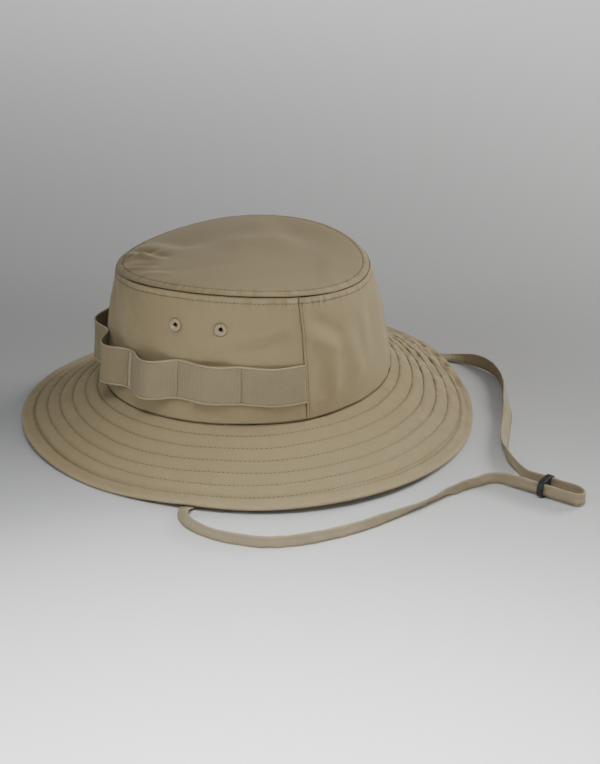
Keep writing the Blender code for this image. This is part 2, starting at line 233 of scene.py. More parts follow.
def makeStitches(name, rows, material, width=0.00042, pitch=0.0029, filled=0.74, rise=0.00012, seed=1):
    # one small arched thread for each stitch; every row is its points and the way the cloth faces there
    chance = np.random.default_rng(seed)
    turns = circle(threadSides)
    perStitch = len(threadRings) * threadSides
    sides = [[r + k, r + (k + 1) % threadSides, r + threadSides + (k + 1) % threadSides, r + threadSides + k]
             for r in range(0, perStitch - threadSides, threadSides) for k in range(threadSides)]
    first = np.arange(threadSides)[::-1]
    last = perStitch - threadSides + np.arange(threadSides)
    allPoints, allFaces, made = [], [], 0
    for points, normals in rows:
        lengths = distances(points)
        count = max(int(lengths[-1] / pitch), 1)
        starts = (np.arange(count) + 0.13) * lengths[-1] / count
        spans = pitch * filled * (1 + 0.08 * chance.uniform(-1, 1, count))
        sway = chance.uniform(-1, 1, count) * 0.00008

        def at(values, places):
            return np.stack([np.interp(places, lengths, values[:, k]) for k in range(3)], -1)

        tangents = unit(at(points, starts + spans) - at(points, starts))
        facing = unit(at(normals, starts + spans / 2))
        beside = unit(np.cross(tangents, facing))
        block = []
        for place, thick, lift in threadRings:
            middle = (at(points, starts + spans * place) + facing * (rise * lift + width * 0.15)
                      + beside * sway[:, None])
            block.append(middle[:, None] + beside[:, None] * (np.cos(turns) * width / 2 * thick)[None, :, None]
                         + facing[:, None] * (np.sin(turns) * width / 2 * thick)[None, :, None])
        allPoints.append(np.stack(block, 1).reshape(-1, 3))
        base = made + np.arange(count)[:, None] * perStitch
        allFaces += (base[..., None] + np.array(sides)).reshape(-1, 4).tolist()
        allFaces += (base + first).tolist() + (base + last).tolist()
        made += count * perStitch
    return newPiece(name, np.concatenate(allPoints) + crownPlace, allFaces, material)


def darker(colour, share=1):
    return [channel * share for channel in colour[:3]] + [1]


class Finish:  # a material, and short ways to add to it
    def __init__(self, name, roughness, sheen=0.0, gloss=0.25):
        self.material = bpy.data.materials.new(name)
        self.material.use_nodes = True
        self.tree = self.material.node_tree
        self.shader = self.tree.nodes["Principled BSDF"].inputs
        self.shader["Roughness"].default_value = roughness
        self.shader["Specular IOR Level"].default_value = gloss
        if sheen:
            self.shader["Sheen Weight"].default_value = sheen
            self.shader["Sheen Roughness"].default_value = 0.45
            self.shader["Sheen Tint"].default_value = (1.0, 0.95, 0.85, 1)
        self.lastBump = None

    def join(self, value, socket):
        if isinstance(value, bpy.types.NodeSocket):
            self.tree.links.new(value, socket)
        elif value is not None:
            socket.default_value = value

    def add(self, kind, *values, **settings):
        node = self.tree.nodes.new("ShaderNode" + kind)
        for key, value in settings.items():
            setattr(node, key, value)
        for socket, value in zip(node.inputs, values):
            self.join(value, socket)
        return node.outputs

    def sums(self, operation, *values):
        return self.add("Math", *values, operation=operation)[0]

    def wave(self, place, pitch):
        return self.sums("SINE", self.sums("MULTIPLY", place, pitch))

    def spread(self, value, low, high, most=1.0):  # from 0 at low to the most at high
        return self.add("MapRange", value, low, high, 0.0, most)[0]

    def blend(self, share, low, high):
        return self.add("Mix", share, None, None, None, None, None, low, high, data_type="RGBA")[2]

    def patches(self, scale, detail=3.0, roughness=0.55):
        return self.add("TexNoise", self.add("TexCoord")["Object"], None, scale, detail, roughness)[0]

    def clothPlace(self):  # along and across the flat cloth, and how rubbed it is there along with the painted light and shade
        return self.add("SeparateXYZ", self.add("Attribute", attribute_name="clothMap")["Vector"])

    def paint(self, tone):
        self.join(tone, self.shader["Base Color"])

    def bump(self, height, strength, distance):
        node = self.tree.nodes.new("ShaderNodeBump")
        self.join(strength, node.inputs["Strength"])
        self.join(distance, node.inputs["Distance"])
        self.join(height, node.inputs["Height"])
        self.join(self.lastBump, node.inputs["Normal"])
        self.lastBump = node.outputs[0]
        self.join(self.lastBump, self.shader["Normal"])


def makeClothFinish(name, look, roughness=0.86, sheen=0.22, twill=False):
    cloth = Finish(name, roughness, sheen)
    along, across, wearAndPaintedLight = cloth.clothPlace()
    pitch = fullTurn / look["threadPitch"]
    threads = cloth.sums("MULTIPLY", cloth.wave(along, pitch), cloth.wave(across, pitch))
    if twill:
        threads = cloth.sums("ADD", threads, cloth.wave(cloth.sums("ADD", along, across), pitch * 0.5))
    threadShare = cloth.sums("MULTIPLY_ADD", threads, 0.22, 0.5)
    tone = cloth.blend(cloth.spread(cloth.patches(26, 4), 0.3, 0.7), look["base"], darker(look["base"], 0.93))
    tone = cloth.blend(threadShare, cloth.blend(0.16, tone, look["shade"]),
                       cloth.blend(0.12, tone, look["wornAndLit"]))
    # the clothMap value lightens the cloth where it is rubbed and with painted light on ridges and puckers, and
    # below zero darkens it with painted shade in grooves, seams and creases
    tone = cloth.blend(cloth.spread(wearAndPaintedLight, 0.0, 1.0), tone, look["wornAndLit"])
    tone = cloth.blend(cloth.spread(wearAndPaintedLight, 0.0, -1.0), tone, look["shade"])
    slubs = cloth.patches(1500, 2)
    tone = cloth.blend(cloth.spread(cloth.patches(620, 4, 0.7), 0.35, 0.7, 0.3), tone, look["shade"])
    cloth.paint(cloth.blend(cloth.sums("MULTIPLY", slubs, 0.12), tone, look["wornAndLit"]))
    cloth.bump(threads, 0.22, 0.00006)
    cloth.bump(slubs, 0.2, 0.0001)
    cloth.bump(cloth.patches(170), 0.3, 0.0003)
    return cloth.material


def makeTapeFinish(name, look, roughness=0.84):
    # narrow woven tape: fine slanting ribs inside smooth edges
    tape = Finish(name, roughness, 0.18)
    along, across, wearAndPaintedLight = tape.clothPlace()
    slanting = tape.sums("ADD", tape.sums("MULTIPLY", along, look["slant"]), across)
    ribs = tape.sums("MULTIPLY", tape.wave(slanting, fullTurn / look["ribPitch"]), 0.65)
    warp = tape.sums("MULTIPLY", tape.wave(along, fullTurn / look["warpPitch"]), 0.35)
    threads = tape.sums("ADD", ribs, warp)
    edge = tape.spread(wearAndPaintedLight, 0.35, 0.75)
    threads = tape.sums("MULTIPLY", threads, tape.sums("SUBTRACT", 1.0, edge))
    tone = tape.blend(tape.sums("MULTIPLY_ADD", threads, 0.5, 0.5), look["shade"], look["base"])
    tone = tape.blend(edge, tone, look["wornAndLit"])
    # below zero the clothMap value darkens the tape with painted shade
    tone = tape.blend(tape.spread(wearAndPaintedLight, 0.0, -1.0), tone, look["dark"])
    tape.paint(tape.blend(tape.sums("MULTIPLY", tape.patches(900, 2), 0.18), tone, look["dark"]))
    tape.bump(threads, 0.55, 0.00016)
    tape.bump(tape.patches(700, 2), 0.15, 0.0001)
    return tape.material


def makeThreadFinish(name, colour):
    thread = Finish(name, 0.7, 0.15)
    thread.paint(thread.blend(thread.patches(2600, 2), darker(colour), darker(colour, 0.7)))
    thread.bump(thread.patches(4200, 1), 0.4, 0.00006)
    return thread.material


def makePaintFinish(name, paint, bare):
    # baked paint on brass, rubbed thin in small spots
    metal = Finish(name, 0.42, gloss=0.5)
    spots = metal.spread(metal.patches(900, 4, 0.65), 0.66, 0.72)
    tone = metal.blend(metal.patches(300, 2), darker(paint), darker(paint, 0.82))
    metal.paint(metal.blend(spots, tone, darker(bare)))
    metal.bump(metal.patches(1200), 0.12, 0.0001)
    return metal.material


def makeRubberFinish(name, colour, lift):
    rubber = Finish(name, 0.46, gloss=0.42)
    rubber.paint(rubber.blend(rubber.patches(500), darker(colour), darker(lift)))
    rubber.join(rubber.sums("MULTIPLY_ADD", rubber.patches(800, 2), 0.22, 0.36), rubber.shader["Roughness"])
    rubber.bump(rubber.patches(2400), 0.22, 0.00012)
    return rubber.material


def makeFeltFinish(name, colour):
    felt = Finish(name, 0.95, 0.1)
    felt.paint(felt.blend(felt.patches(420, 4), darker(colour), darker(colour, 0.8)))
    felt.bump(felt.patches(1800, 4), 0.5, 0.0002)
    return felt.material


clothLook = {
    "shade": (0.225, 0.176, 0.098, 1),
    "base": (0.35, 0.279, 0.156, 1),
    "wornAndLit": (0.44, 0.364, 0.23, 1),
    "threadPitch": 0.00048,
}
webbingLook = {
    "base": (0.4, 0.334, 0.208, 1),
    "shade": (0.215, 0.17, 0.098, 1),
    "wornAndLit": (0.4, 0.336, 0.215, 1),
    "dark": (0.18, 0.14, 0.08, 1),
    "ribPitch": 0.0017,
    "warpPitch": 0.0015,
    "slant": 1.0,
}
strapLook = {
    "shade": (0.262, 0.212, 0.135, 1),
    "base": (0.33, 0.272, 0.175, 1),
    "wornAndLit": (0.42, 0.357, 0.245, 1),
    "threadPitch": 0.0005,
}
liningLook = {
    "shade": (0.25, 0.205, 0.13, 1),
    "base": (0.31, 0.258, 0.168, 1),
    "wornAndLit": (0.37, 0.312, 0.21, 1),
    "threadPitch": 0.0006,
}
tapeLook = dict(webbingLook, base=(0.33, 0.275, 0.18, 1), ribPitch=0.0016, slant=0.0)

hatCloth = makeClothFinish("hat cloth", clothLook)
strapCloth = makeClothFinish("strap cloth", strapLook, 0.88, 0.2, True)
sweatbandCloth = makeClothFinish("sweatband cloth", liningLook, 0.9, 0.12, True)
webbing = makeTapeFinish("loop webbing", webbingLook)
seamBinding = makeTapeFinish("seam binding", tapeLook, 0.9)
seamThread = makeThreadFinish("seam thread", (0.165, 0.125, 0.07))
darkThread = makeThreadFinish("tack thread", (0.105, 0.078, 0.042))
brimFelt = makeFeltFinish("brim interlining", (0.42, 0.4, 0.35))
eyeletPaint = makePaintFinish("eyelet paint", (0.44, 0.36, 0.23), (0.52, 0.42, 0.26))
washerMetal = makePaintFinish("washer brass", (0.36, 0.285, 0.15), (0.46, 0.38, 0.22))
sliderRubber = makeRubberFinish("slider rubber", (0.012, 0.012, 0.013), (0.028, 0.027, 0.027))
print("finishes made")

# The chin strap comes first, because its route decides how wide the whole part is.
strapShape = {
    "width": 0.0086,
    "thickness": 0.0016,
    "clearance": 0.0003,
    "sliderCentre": (0.1937, 0.1213, 0.0064),
    "heading": 29,
    "slotSpacing": 0.0108,
}


def strapPlace(along, across, up=0.0):  # along and across the slider, on the table
    heading = math.radians(strapShape["heading"])
    x, y, z = strapShape["sliderCentre"]
    return (x + math.cos(heading) * along - math.sin(heading) * across,
            y + math.sin(heading) * along + math.cos(heading) * across, z + up)


def onTable(x, y, tilt=0, raised=0.0):  # tilt 0 stands on its edge, 90 lies flat
    half = strapShape["thickness"] / 2
    half += (strapShape["width"] / 2 - half) * math.cos(math.radians(tilt))
    twist = 0.0002 * abs(math.sin(math.radians(2 * tilt)))
    return (x, y, strapShape["clearance"] + half + twist + raised, tilt)


def inSlider(along, across, lowered=0.0):
    return (*strapPlace(along, across, -lowered), 0)


def strapRoute():  # every point is x, y, z and tilt in degrees
    slot = strapShape["slotSpacing"] / 2
    rise = 0.6 * (strapShape["sliderCentre"][2] - strapShape["clearance"] - strapShape["width"] / 2)
    leftSeam = [(0.0825, 0, 0.029, 0), (0.0825, -0.008, 0.0205, -10), (0.0836, -0.02, 0.012, -40),
                (0.0862, -0.036, 0.0055, -75), (0.0903, -0.0565, 0.002, -90)]
    near = ((0.0955, -0.079, -90), (0.1015, -0.095, -90, 0.0004), (0.111, -0.104, -55), (0.1255, -0.1068, -16),
            (0.143, -0.1003), (0.158, -0.088), (0.1705, -0.0725), (0.178, -0.05), (0.1805, -0.026),
            (0.1798, -0.002), (0.177, 0.018), (0.1725, 0.04), (0.1672, 0.064), (0.1655, 0.085),
            (0.1692, 0.0995, 0, rise))
    through = [inSlider(along, -slot) for along in (-0.016, -0.008, 0, 0.01, 0.02)]
    loop = [inSlider(0.0255, -0.0042, 0.0006), inSlider(0.0282, 0, 0.0008), inSlider(0.0255, 0.0042, 0.0006)]
    back = [inSlider(along, slot) for along in (0.02, 0.01, 0, -0.008, -0.016)]
    far = ((0.1685, 0.1184, 0, rise), (0.155, 0.1207), (0.1417, 0.124, -4), (0.1256, 0.1321, -38),
           (0.1065, 0.1454, -46), (0.0908, 0.1565, -44), (0.0737, 0.1655, -24), (0.0543, 0.1761, -4),
           (0.0341, 0.1825), (0.0162, 0.181, 20), (0.001, 0.1735, 60), (-0.0105, 0.1638, 88),
           (-0.0225, 0.151, 90), (-0.037, 0.1305, 90), (-0.0505, 0.106, 90), (-0.062, 0.079, 90))
    rightSeam = [(-0.071, 0.056, 0.0024, 88), (-0.0775, 0.036, 0.0065, 70), (-0.0815, 0.018, 0.0135, 38),
                 (-0.0825, 0.0075, 0.0215, 10), (-0.0825, 0, 0.029, 0)]
    return (leftSeam + [onTable(*spot) for spot in near] + through + loop + back
            + [onTable(*spot) for spot in far] + rightSeam)


def smoothRoute(route, count):
    route = np.array(route)
    ends = np.concatenate((route[:1], route, route[-1:]))
    t = (np.arange(24) / 24)[:, None]
    fine = [0.5 * (2 * b + (c - a) * t + (2 * a - 5 * b + 4 * c - d) * t * t + (3 * b - a - 3 * c + d) * t ** 3)
            for a, b, c, d in zip(ends, ends[1:], ends[2:], ends[3:])]
    fine = np.concatenate(fine + [route[-1:]])
    walked = distances(fine[:, :3])
    places = np.linspace(0, walked[-1], count)
    return np.stack([np.interp(places, walked, fine[:, k]) for k in range(4)], -1), walked[-1]


def makeStrap():
    route, length = smoothRoute(strapRoute(), 1100)
    centre = route[:, :3]
    # beyond the exit the near leg leans over for a stretch, as a limp tape does
    lean = math.radians(40) * bell(np.linspace(0, 1, len(route)) - 0.35, 0.03)
    tilt = np.radians(route[:, 3]) + lean
    line = centre.copy()
    line[:, 2] -= (strapShape["width"] - strapShape["thickness"]) / 2 * (1 - np.cos(lean))
    tangents = unit(np.gradient(line, axis=0))
    upright = unit(np.array((0, 0, 1.0)) - tangents[:, 2:3] * tangents)
    level = np.cross(tangents, upright)
    wide = upright * np.cos(tilt)[:, None] + level * np.sin(tilt)[:, None]
    flat = np.cross(tangents, wide)
    walked = np.linspace(0, length, len(line))
    share = walked / length
    # the section of a tape folded lengthways: rounded fold at the top, stitched edge at the bottom
    half, thick = strapShape["width"] / 2, strapShape["thickness"] / 2
    face = np.linspace(-1, 1, 15)
    turn = np.radians(np.linspace(80, -80, 6))
    across = np.concatenate((face, 1 + 0.02 * np.cos(turn), -face, -1 - 0.02 * np.cos(turn)))[:, None]
    side = np.concatenate((face * 0 + 1, np.sin(turn), face * 0 - 1, -np.sin(turn)))[:, None]
    edge = np.clip(1 - np.abs(across), 0, 1)
    rounded = np.sqrt(np.clip(1 - (1 - np.clip(edge / 0.17, 0, 1)) ** 2, 0.1, 1))
    stitched = bell(across + 0.66, 0.07)
    wave = softNoise(share, share * 0, 150, 1, 31) * across * 0.00022
    slack = softNoise(share, share * 0, 60, 1, 32) * 0.00018
    crease = 0.00022 * bell(across - 0.3 - 0.2 * softNoise(share, share * 0, 14, 1, 33), 0.09) * side
    shares, ups = np.broadcast_arrays(share, (across + 1) / 2)
    small = softNoise(shares, ups, 330, 4, 34) * 0.00012 * side
    # the near leg is rucked in short slanting tucks just before the slider
    rucked = bell(share - 0.385, 0.03)
    small = small + softNoise(shares + ups * 0.006, ups, 120, 2, 36) * (0.00085 * rucked + 0.00012)
    height = side * thick * (rounded * (1 - 0.16 * stitched)) + wave + slack + small - crease
    points = line + wide * (across * half)[..., None] + flat * height[..., None]
    # lighter along both edges; painted shade along the stitched line, with random mottling
    shade = 0.55 * (edge < 0.08) - 0.55 * stitched + 0.35 * softNoise(shares, ups, 90, 2, 35)
    rows, columns = shade.shape
    faces = gridFaces(rows, columns, True).reshape(-1, 4)
    piece = newPiece("chinStrap", points.reshape(-1, 3) + crownPlace, faces.tolist(), strapCloth)
    around = distances(points[:, 400])
    girth = around[-1] + np.linalg.norm(points[0, 400] - points[-1, 400])
    addClothMap(piece, faces, *np.broadcast_arrays(around[:, None], walked), shade, girth)
    capRims(piece, (range(0, rows * columns, columns), range(rows * columns - 1, 0, -columns)))
    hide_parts("chin_strap")
    stitched = [(line + wide * (-0.66 * half) + flat * (thick * 0.93 * way), flat * way) for way in (1, -1)]
    threads = makeStitches("chinStrapStitches", stitched, seamThread, 0.00034, 0.0026, seed=5)
    return piece, threads, centre + crownPlace, length


def stadium(width, height, radius, steps):
    points = []
    for corner, (right, top) in enumerate(((1, 1), (-1, 1), (-1, -1), (1, -1))):
        for i in range(steps + 1):
            turn = corner * math.pi / 2 + math.pi / 2 * i / steps
            points.append((right * (width / 2 - radius) + radius * math.cos(turn),
                           top * (height / 2 - radius) + radius * math.sin(turn)))
    return points


def slab(outline, depth):
    mesh = bmesh.new()
    face = mesh.faces.new([mesh.verts.new((x, y, -depth / 2)) for x, y in outline])
    grown = bmesh.ops.extrude_face_region(mesh, geom=[face])
    bmesh.ops.translate(mesh, verts=[v for v in grown["geom"] if isinstance(v, bmesh.types.BMVert)],
                        vec=(0, 0, depth))
    bmesh.ops.recalc_face_normals(mesh, faces=mesh.faces)
    data = bpy.data.meshes.new("slab")
    mesh.to_mesh(data)
    mesh.free()
    return show("slab", data)


sliderShape = {
    "length": 0.019,
    "height": 0.0122,
    "thickness": 0.0042,
    "slotWidth": 0.0032,
    "slotHeight": 0.0092,
    "rounding": 0.0012,
}


def makeSlider():
    heading = math.radians(strapShape["heading"])
    axisX = Vector((-math.sin(heading), math.cos(heading), 0))
    axisY = Vector((0, 0, 1))
    axisZ = axisX.cross(axisY)
    centre = Vector(strapShape["sliderCentre"]) + Vector(crownPlace.tolist())
    height, thickness = sliderShape["height"], sliderShape["thickness"]
    body = slab(stadium(sliderShape["length"], height, height / 2 - 0.0003, 14), thickness)
    slot = stadium(sliderShape["slotWidth"], sliderShape["slotHeight"], 0.001, 6)
    cutters = []
    for side in (-1, 1):
        cutters.append(slab([(x + side * strapShape["slotSpacing"] / 2, y) for x, y in slot], 2 * thickness))
        cut = body.modifiers.new("slot", "BOOLEAN")
        cut.object, cut.operation, cut.solver = cutters[-1], "DIFFERENCE", "EXACT"
    rounding = body.modifiers.new("rounding", "BEVEL")
    rounding.width, rounding.segments, rounding.limit_method = sliderShape["rounding"], 5, "ANGLE"
    rounding.use_clamp_overlap = True
    shaped = bpy.data.meshes.new_from_object(body.evaluated_get(bpy.context.evaluated_depsgraph_get()))
    for item in [body] + cutters:
        bpy.data.objects.remove(item)
    for vertex in shaped.vertices:
        x, y, z = vertex.co
        waist = 1 - 0.1 * math.exp(-(x / 0.0022) ** 2)  # the crossbar between the slots is a little thinner
        vertex.co = centre + axisX * x + axisY * y + axisZ * (z * waist)
    shaped.polygons.foreach_set("use_smooth", [True] * len(shaped.polygons))
    shaped.materials.clear()
    shaped.materials.append(sliderRubber)
    slider = show("strapSlider", shaped)
    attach(slider, "slider")
    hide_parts("strap_slider")
    return slider


chinStrap, chinStrapStitches, strapLine, strapLength = makeStrap()
strapSlider = makeSlider()
print("strap and slider made, strap length", round(strapLength, 4))

crownShape = {
    "foot": (0.169, 0.203, 0.036),  # width, length and height of the oval at the crown's foot
    "tip": (0.1606, 0.1746, 0.1175),  # the same for the seam round the top panel
    "tipShift": (-0.0015, -0.0035),
    "dome": 0.0095,
    "bulge": 0.0025,
    "footWaves": ((2, 0.003, 118),),
    "tipWaves": ((1, 0.0072, -41), (2, 0.0044, -45)),
    "cloth": 0.0008,
    "stitchRow": 0.0042,  # from the tip seam to the stitching on each side of it
    "seamRow": 0.0019,  # from a side seam to its stitching
    # creases: start and end as degrees round and metres up, width, height
    "creases": (
        ((1, 0.066), (18, 0.046), 0.0062, 0.001),
        ((9, 0.044), (7, 0.014), 0.0062, -0.0008),
        ((24, 0.058), (28, 0.016), 0.008, 0.0006),
        ((36, 0.072), (34, 0.022), 0.007, 0.0004),
        ((56, 0.076), (50, 0.012), 0.008, 0.0004),
        ((-30, 0.05), (-3, 0.06), 0.007, -0.0008),
        ((-22, 0.066), (-4, 0.074), 0.008, 0.0005),
        ((-52, 0.03), (-30, 0.064), 0.006, 0.0005),
        ((-92, 0.074), (-78, 0.052), 0.0055, 0.0005),
        ((-108, 0.07), (-98, 0.04), 0.006, 0.0005),
        ((-150, 0.064), (-128, 0.046), 0.007, 0.0004),
        ((100, 0.07), (112, 0.024), 0.008, 0.0004),
        ((150, 0.06), (132, 0.02), 0.008, 0.0003),
        ((172, 0.058), (160, 0.04), 0.007, 0.0003),
    ),
}
eyeletShape = {
    "angles": {"left_front": -54, "left_rear": -34, "right_front": -126, "right_rear": -146},
    "rise": 0.75,  # share of the way up the wall
    # radius and height above the cloth, in millimetres, once round the rolled ring
    "profile": ((3.7, -0.05), (4.05, 0.1), (4.18, 0.42), (4.1, 0.8), (3.84, 1.14), (3.46, 1.32), (3.06, 1.26),
                (2.74, 1.00), (2.5, 0.66), (2.28, 0.46), (2.02, 0.42), (1.76, 0.36), (1.57, 0.14), (1.47, -0.2),
                (1.42, -0.8), (1.44, -1.7), (1.55, -1.95), (1.85, -2.05), (1.95, -1.9), (1.9, -0.6),
                (2.05, -0.2), (2.6, -0.06)),
    "washer": ((1.98, -1.3), (2.1, -1.2), (3.6, -1.2), (3.84, -1.27), (3.92, -1.45), (3.86, -1.66),
               (3.62, -1.78), (2.6, -1.86), (2.15, -1.86), (2.00, -1.7)),
}


def footPoint(angle):
    width, length, height = crownShape["foot"]
    return np.stack((width / 2 * np.cos(angle), length / 2 * np.sin(angle),
                     height + ripple(angle, crownShape["footWaves"])), -1)


def tipPoint(angle):
    width, length, height = crownShape["tip"]
    x, y = crownShape["tipShift"]
    return np.stack((width / 2 * np.cos(angle) + x, length / 2 * np.sin(angle) + y,
                     height + ripple(angle, crownShape["tipWaves"])), -1)


def outward(angle):
    width, length, height = crownShape["foot"]
    return unit(np.stack((np.cos(angle) / width, np.sin(angle) / length, np.zeros_like(angle)), -1))


def wallHeight(angle):
    return np.linalg.norm(tipPoint(angle) - footPoint(angle), axis=-1)


def wallPoint(angle, height, offset):  # height in metres up the wall, offset out from its middle layer
    share = height / wallHeight(angle)
    foot = footPoint(angle)
    bulge = crownShape["bulge"] * np.sin(math.pi * np.clip(share, 0, 1))
    return foot + (tipPoint(angle) - foot) * share[..., None] + outward(angle) * (bulge + offset)[..., None]


def seamAway(angle, height):  # metres round from the nearest side seam, and which side of it
    turned = (angle + math.pi / 2) % math.pi - math.pi / 2
    return turned * (0.1015 - 0.17 * height)


def fromEyelets(angle, height):  # metres along the wall from each eyelet
    return [np.hypot((angle - math.radians(degrees)) * 0.094, height - eyeletShape["rise"] * wallHeight(angle))
            for degrees in eyeletShape["angles"].values()]


def wallRelief(angle, height):
    # the soft unevenness of the wall, which the webbing follows too
    around = angle / fullTurn
    up = height / wallRadius
    relief = 0.0008 * softNoise(around, up, 15, 2, 4) + 0.0003 * softNoise(around + 0.3, up, 40, 5, 9)
    along = ((angle + math.pi) % fullTurn - math.pi) * wallRadius
    for start, end, width, rise in crownShape["creases"]:
        relief = relief + fold(along, height, (math.radians(start[0]) * wallRadius, start[1]),
                               (math.radians(end[0]) * wallRadius, end[1]), width, rise * 2.4)
    for away in fromEyelets(angle, height):
        relief = relief * (1 - np.exp(-(away / 0.0065) ** 4))
    return relief


def wallDetail(angle, height):
    # turned edges, seam allowances, stitch grooves and puckers, with the painted shade and painted light that
    # go with them
    below = wallHeight(angle) - height
    around = angle / fullTurn
    row = crownShape["stitchRow"]
    groove = bell(below - row, 0.00055)
    allowance = 0.00045 / (1 + np.exp((below - row) / 0.0004))
    pucker = softNoise(around, below * 0, 230, 1, 12) * bell(below - 0.0032, 0.0036)
    pucker = pucker * (0.6 + 0.7 * localBumps(angle, ((-2, 1, 16), (150, 1, 30), (-110, 0.7, 20))))
    relief = allowance - 0.0003 * groove - 0.0011 * (0.5 * bell(below, 0.0005)) + 0.00034 * pucker
    footPucker = softNoise(around + 0.1, height * 0, 120, 1, 14) * np.exp(-height / 0.006)
    footPucker = footPucker * (0.25 + localBumps(angle, ((60, 1, 22), (170, 0.8, 25), (-85, 0.5, 20))))
    relief = relief - 0.0009 * bell(height, 0.0008) + 0.00055 * footPucker
    away = seamAway(angle, height)
    # the rear panel lies over the seam allowance on both sides
    behind = np.where(np.cos(angle) > 0, away, -away)
    lap = 0.00045 * (behind > 0) * (1 - 1 / (1 + np.exp(-(behind - 0.0062) / 0.0009)))
    seamGroove = bell(behind - crownShape["seamRow"], 0.0005)
    seamPucker = softNoise(height / 0.1, height * 0, 26, 1, 15) * bell(behind - 0.0018, 0.0028)
    # the cloth is drawn down just round each eyelet
    drawn = sum(bell(away - 0.0044, 0.0007) for away in fromEyelets(angle, height))
    relief = (relief - 0.0007 * bell(away, 0.00028) + lap - 0.00026 * seamGroove + 0.00022 * seamPucker
              - 0.00025 * drawn)
    # painted shade in the stitch groove, at the top seam, at the foot, in the side seam and round each eyelet;
    # painted light on the puckers and just below the top seam
    shade = (-0.45 * groove - 0.6 * bell(below, 0.0005) - 1.0 * bell(height, 0.0011)
             - 1.0 * bell(away, 0.0003) - 0.15 * seamGroove + 0.4 * pucker
             - 0.75 * drawn + 0.35 * footPucker + 0.2 * bell(below - 0.0018, 0.001))
    return relief, shade


def wallSurface(angle, height):
    offset = crownShape["cloth"] / 2 + wallRelief(angle, height) + wallDetail(angle, height)[0]
    return wallPoint(angle, height, offset)


def panelAngles(start):
    fine = np.linspace(0, 0.075, 26)[:-1]
    middle = np.linspace(0.075, math.pi - 0.075, 500)
    return start + np.concatenate((fine, middle, math.pi - fine[::-1]))


def makeSidePanel(name, node, start):
    low = np.linspace(0, 0.03, 8)[:-1]
    middle = np.linspace(0.03, 0.88, 104)[:-1]
    a, v = grid(panelAngles(start), np.concatenate((low, middle, np.linspace(0.88, 1, 32))))
    heights = v * wallHeight(a)

    def besideHoles(faces):
        kept = []
        for degrees in eyeletShape["angles"].values():
            where = np.array([math.radians(degrees)])
            kept.append(np.hypot((a.ravel()[faces].mean(-1) - where) * 0.0935, heights.ravel()[faces].mean(-1)
                                 - eyeletShape["rise"] * wallHeight(where)) > 0.0021)
        return np.all(kept, axis=0)

    clothGrid(name, node, wallSurface(a, heights), a * wallRadius, heights, wallDetail(a, heights)[1], hatCloth,
              0.0007, keep=besideHoles)


makeSidePanel("frontPanel", "front_side_panel", -math.pi)
makeSidePanel("rearPanel", "rear_side_panel", 0)
print("side panels made")

tipFolds = (
    # the turn round and share of the way out from the centre, start and end, then width and height
    ((-128, 0.97), (-96, 0.66), 0.0042, 0.0017),
    ((-112, 0.98), (-121, 0.66), 0.0036, 0.0015),
    ((-100, 0.97), (-84, 0.78), 0.0036, 0.0013),
    ((-140, 0.9), (-112, 0.5), 0.008, 0.0012),
    ((-84, 0.92), (-66, 0.8), 0.004, 0.0007),
    ((-60, 0.9), (-20, 0.55), 0.008, 0.0005),
    ((20, 0.92), (62, 0.7), 0.007, 0.0006),
    ((-107, 0.566), (84, 0.767), 0.016, 0.0017),
    ((150, 0.8), (60, 0.35), 0.011, 0.0007),
    ((-150, 0.6), (-40, 0.3), 0.012, -0.0006),
)


def tipCentre():
    return np.array((*crownShape["tipShift"], crownShape["tip"][2]))


def tipRelief(angle, share):
    rim = tipPoint(angle) - tipCentre()
    x, y = rim[..., 0] * share, rim[..., 1] * share
    relief = 0.0006 * softNoise(angle / fullTurn, share, 9, 2, 21) * share * share
    width, length = crownShape["tip"][:2]
    for start, end, wide, rise in tipFolds:
        ends = [(width / 2 * math.cos(math.radians(degrees)) * out,
                 length / 2 * math.sin(math.radians(degrees)) * out) for degrees, out in (start, end)]
        relief = relief + fold(x, y, *ends, wide, rise)
    dent = np.exp(-((x + 0.006) / 0.03) ** 2 - ((y - 0.052) / 0.024) ** 2)
    return relief - 0.0032 * dent * (1 - share ** 6)


def tipSurface(angle, share):
    below = (1 - share) * tipRadius  # metres in from the seam
    rim = tipPoint(angle) + outward(angle) * (crownShape["cloth"] / 2)
    centre = tipCentre()
    place = centre + (rim - centre) * share[..., None]
    row = crownShape["stitchRow"]
    around = angle / fullTurn
    groove = bell(below - row, 0.00055)
    allowance = 0.00022 / (1 + np.exp((below - row) / 0.0004))
    pucker = softNoise(around + 0.05, below * 0, 220, 1, 24) * bell(below - 0.003, 0.0032)
    rise = (0.0003 + crownShape["cloth"] + crownShape["dome"] * (1 - share ** 2.4) + allowance - 0.0003 * groove
            - 0.001 * (0.5 * bell(below, 0.0006)) + 0.0002 * pucker + tipRelief(angle, share)
            + 0.0016 * (1 - np.exp(-below / 0.0035)) - 0.0016 * (1 - share ** 4))
    place[..., 2] += rise
    # painted shade in the stitch groove and at the seam; painted light on the puckers and between the seam and
    # the stitching
    shade = -0.45 * groove - 0.6 * bell(below, 0.0005) + 0.5 * pucker
    shade = shade + 0.25 * bell(below - 0.0019, 0.0012)
    return place, shade


def tipPlace(angle, share):
    return tipSurface(angle, share)[0]


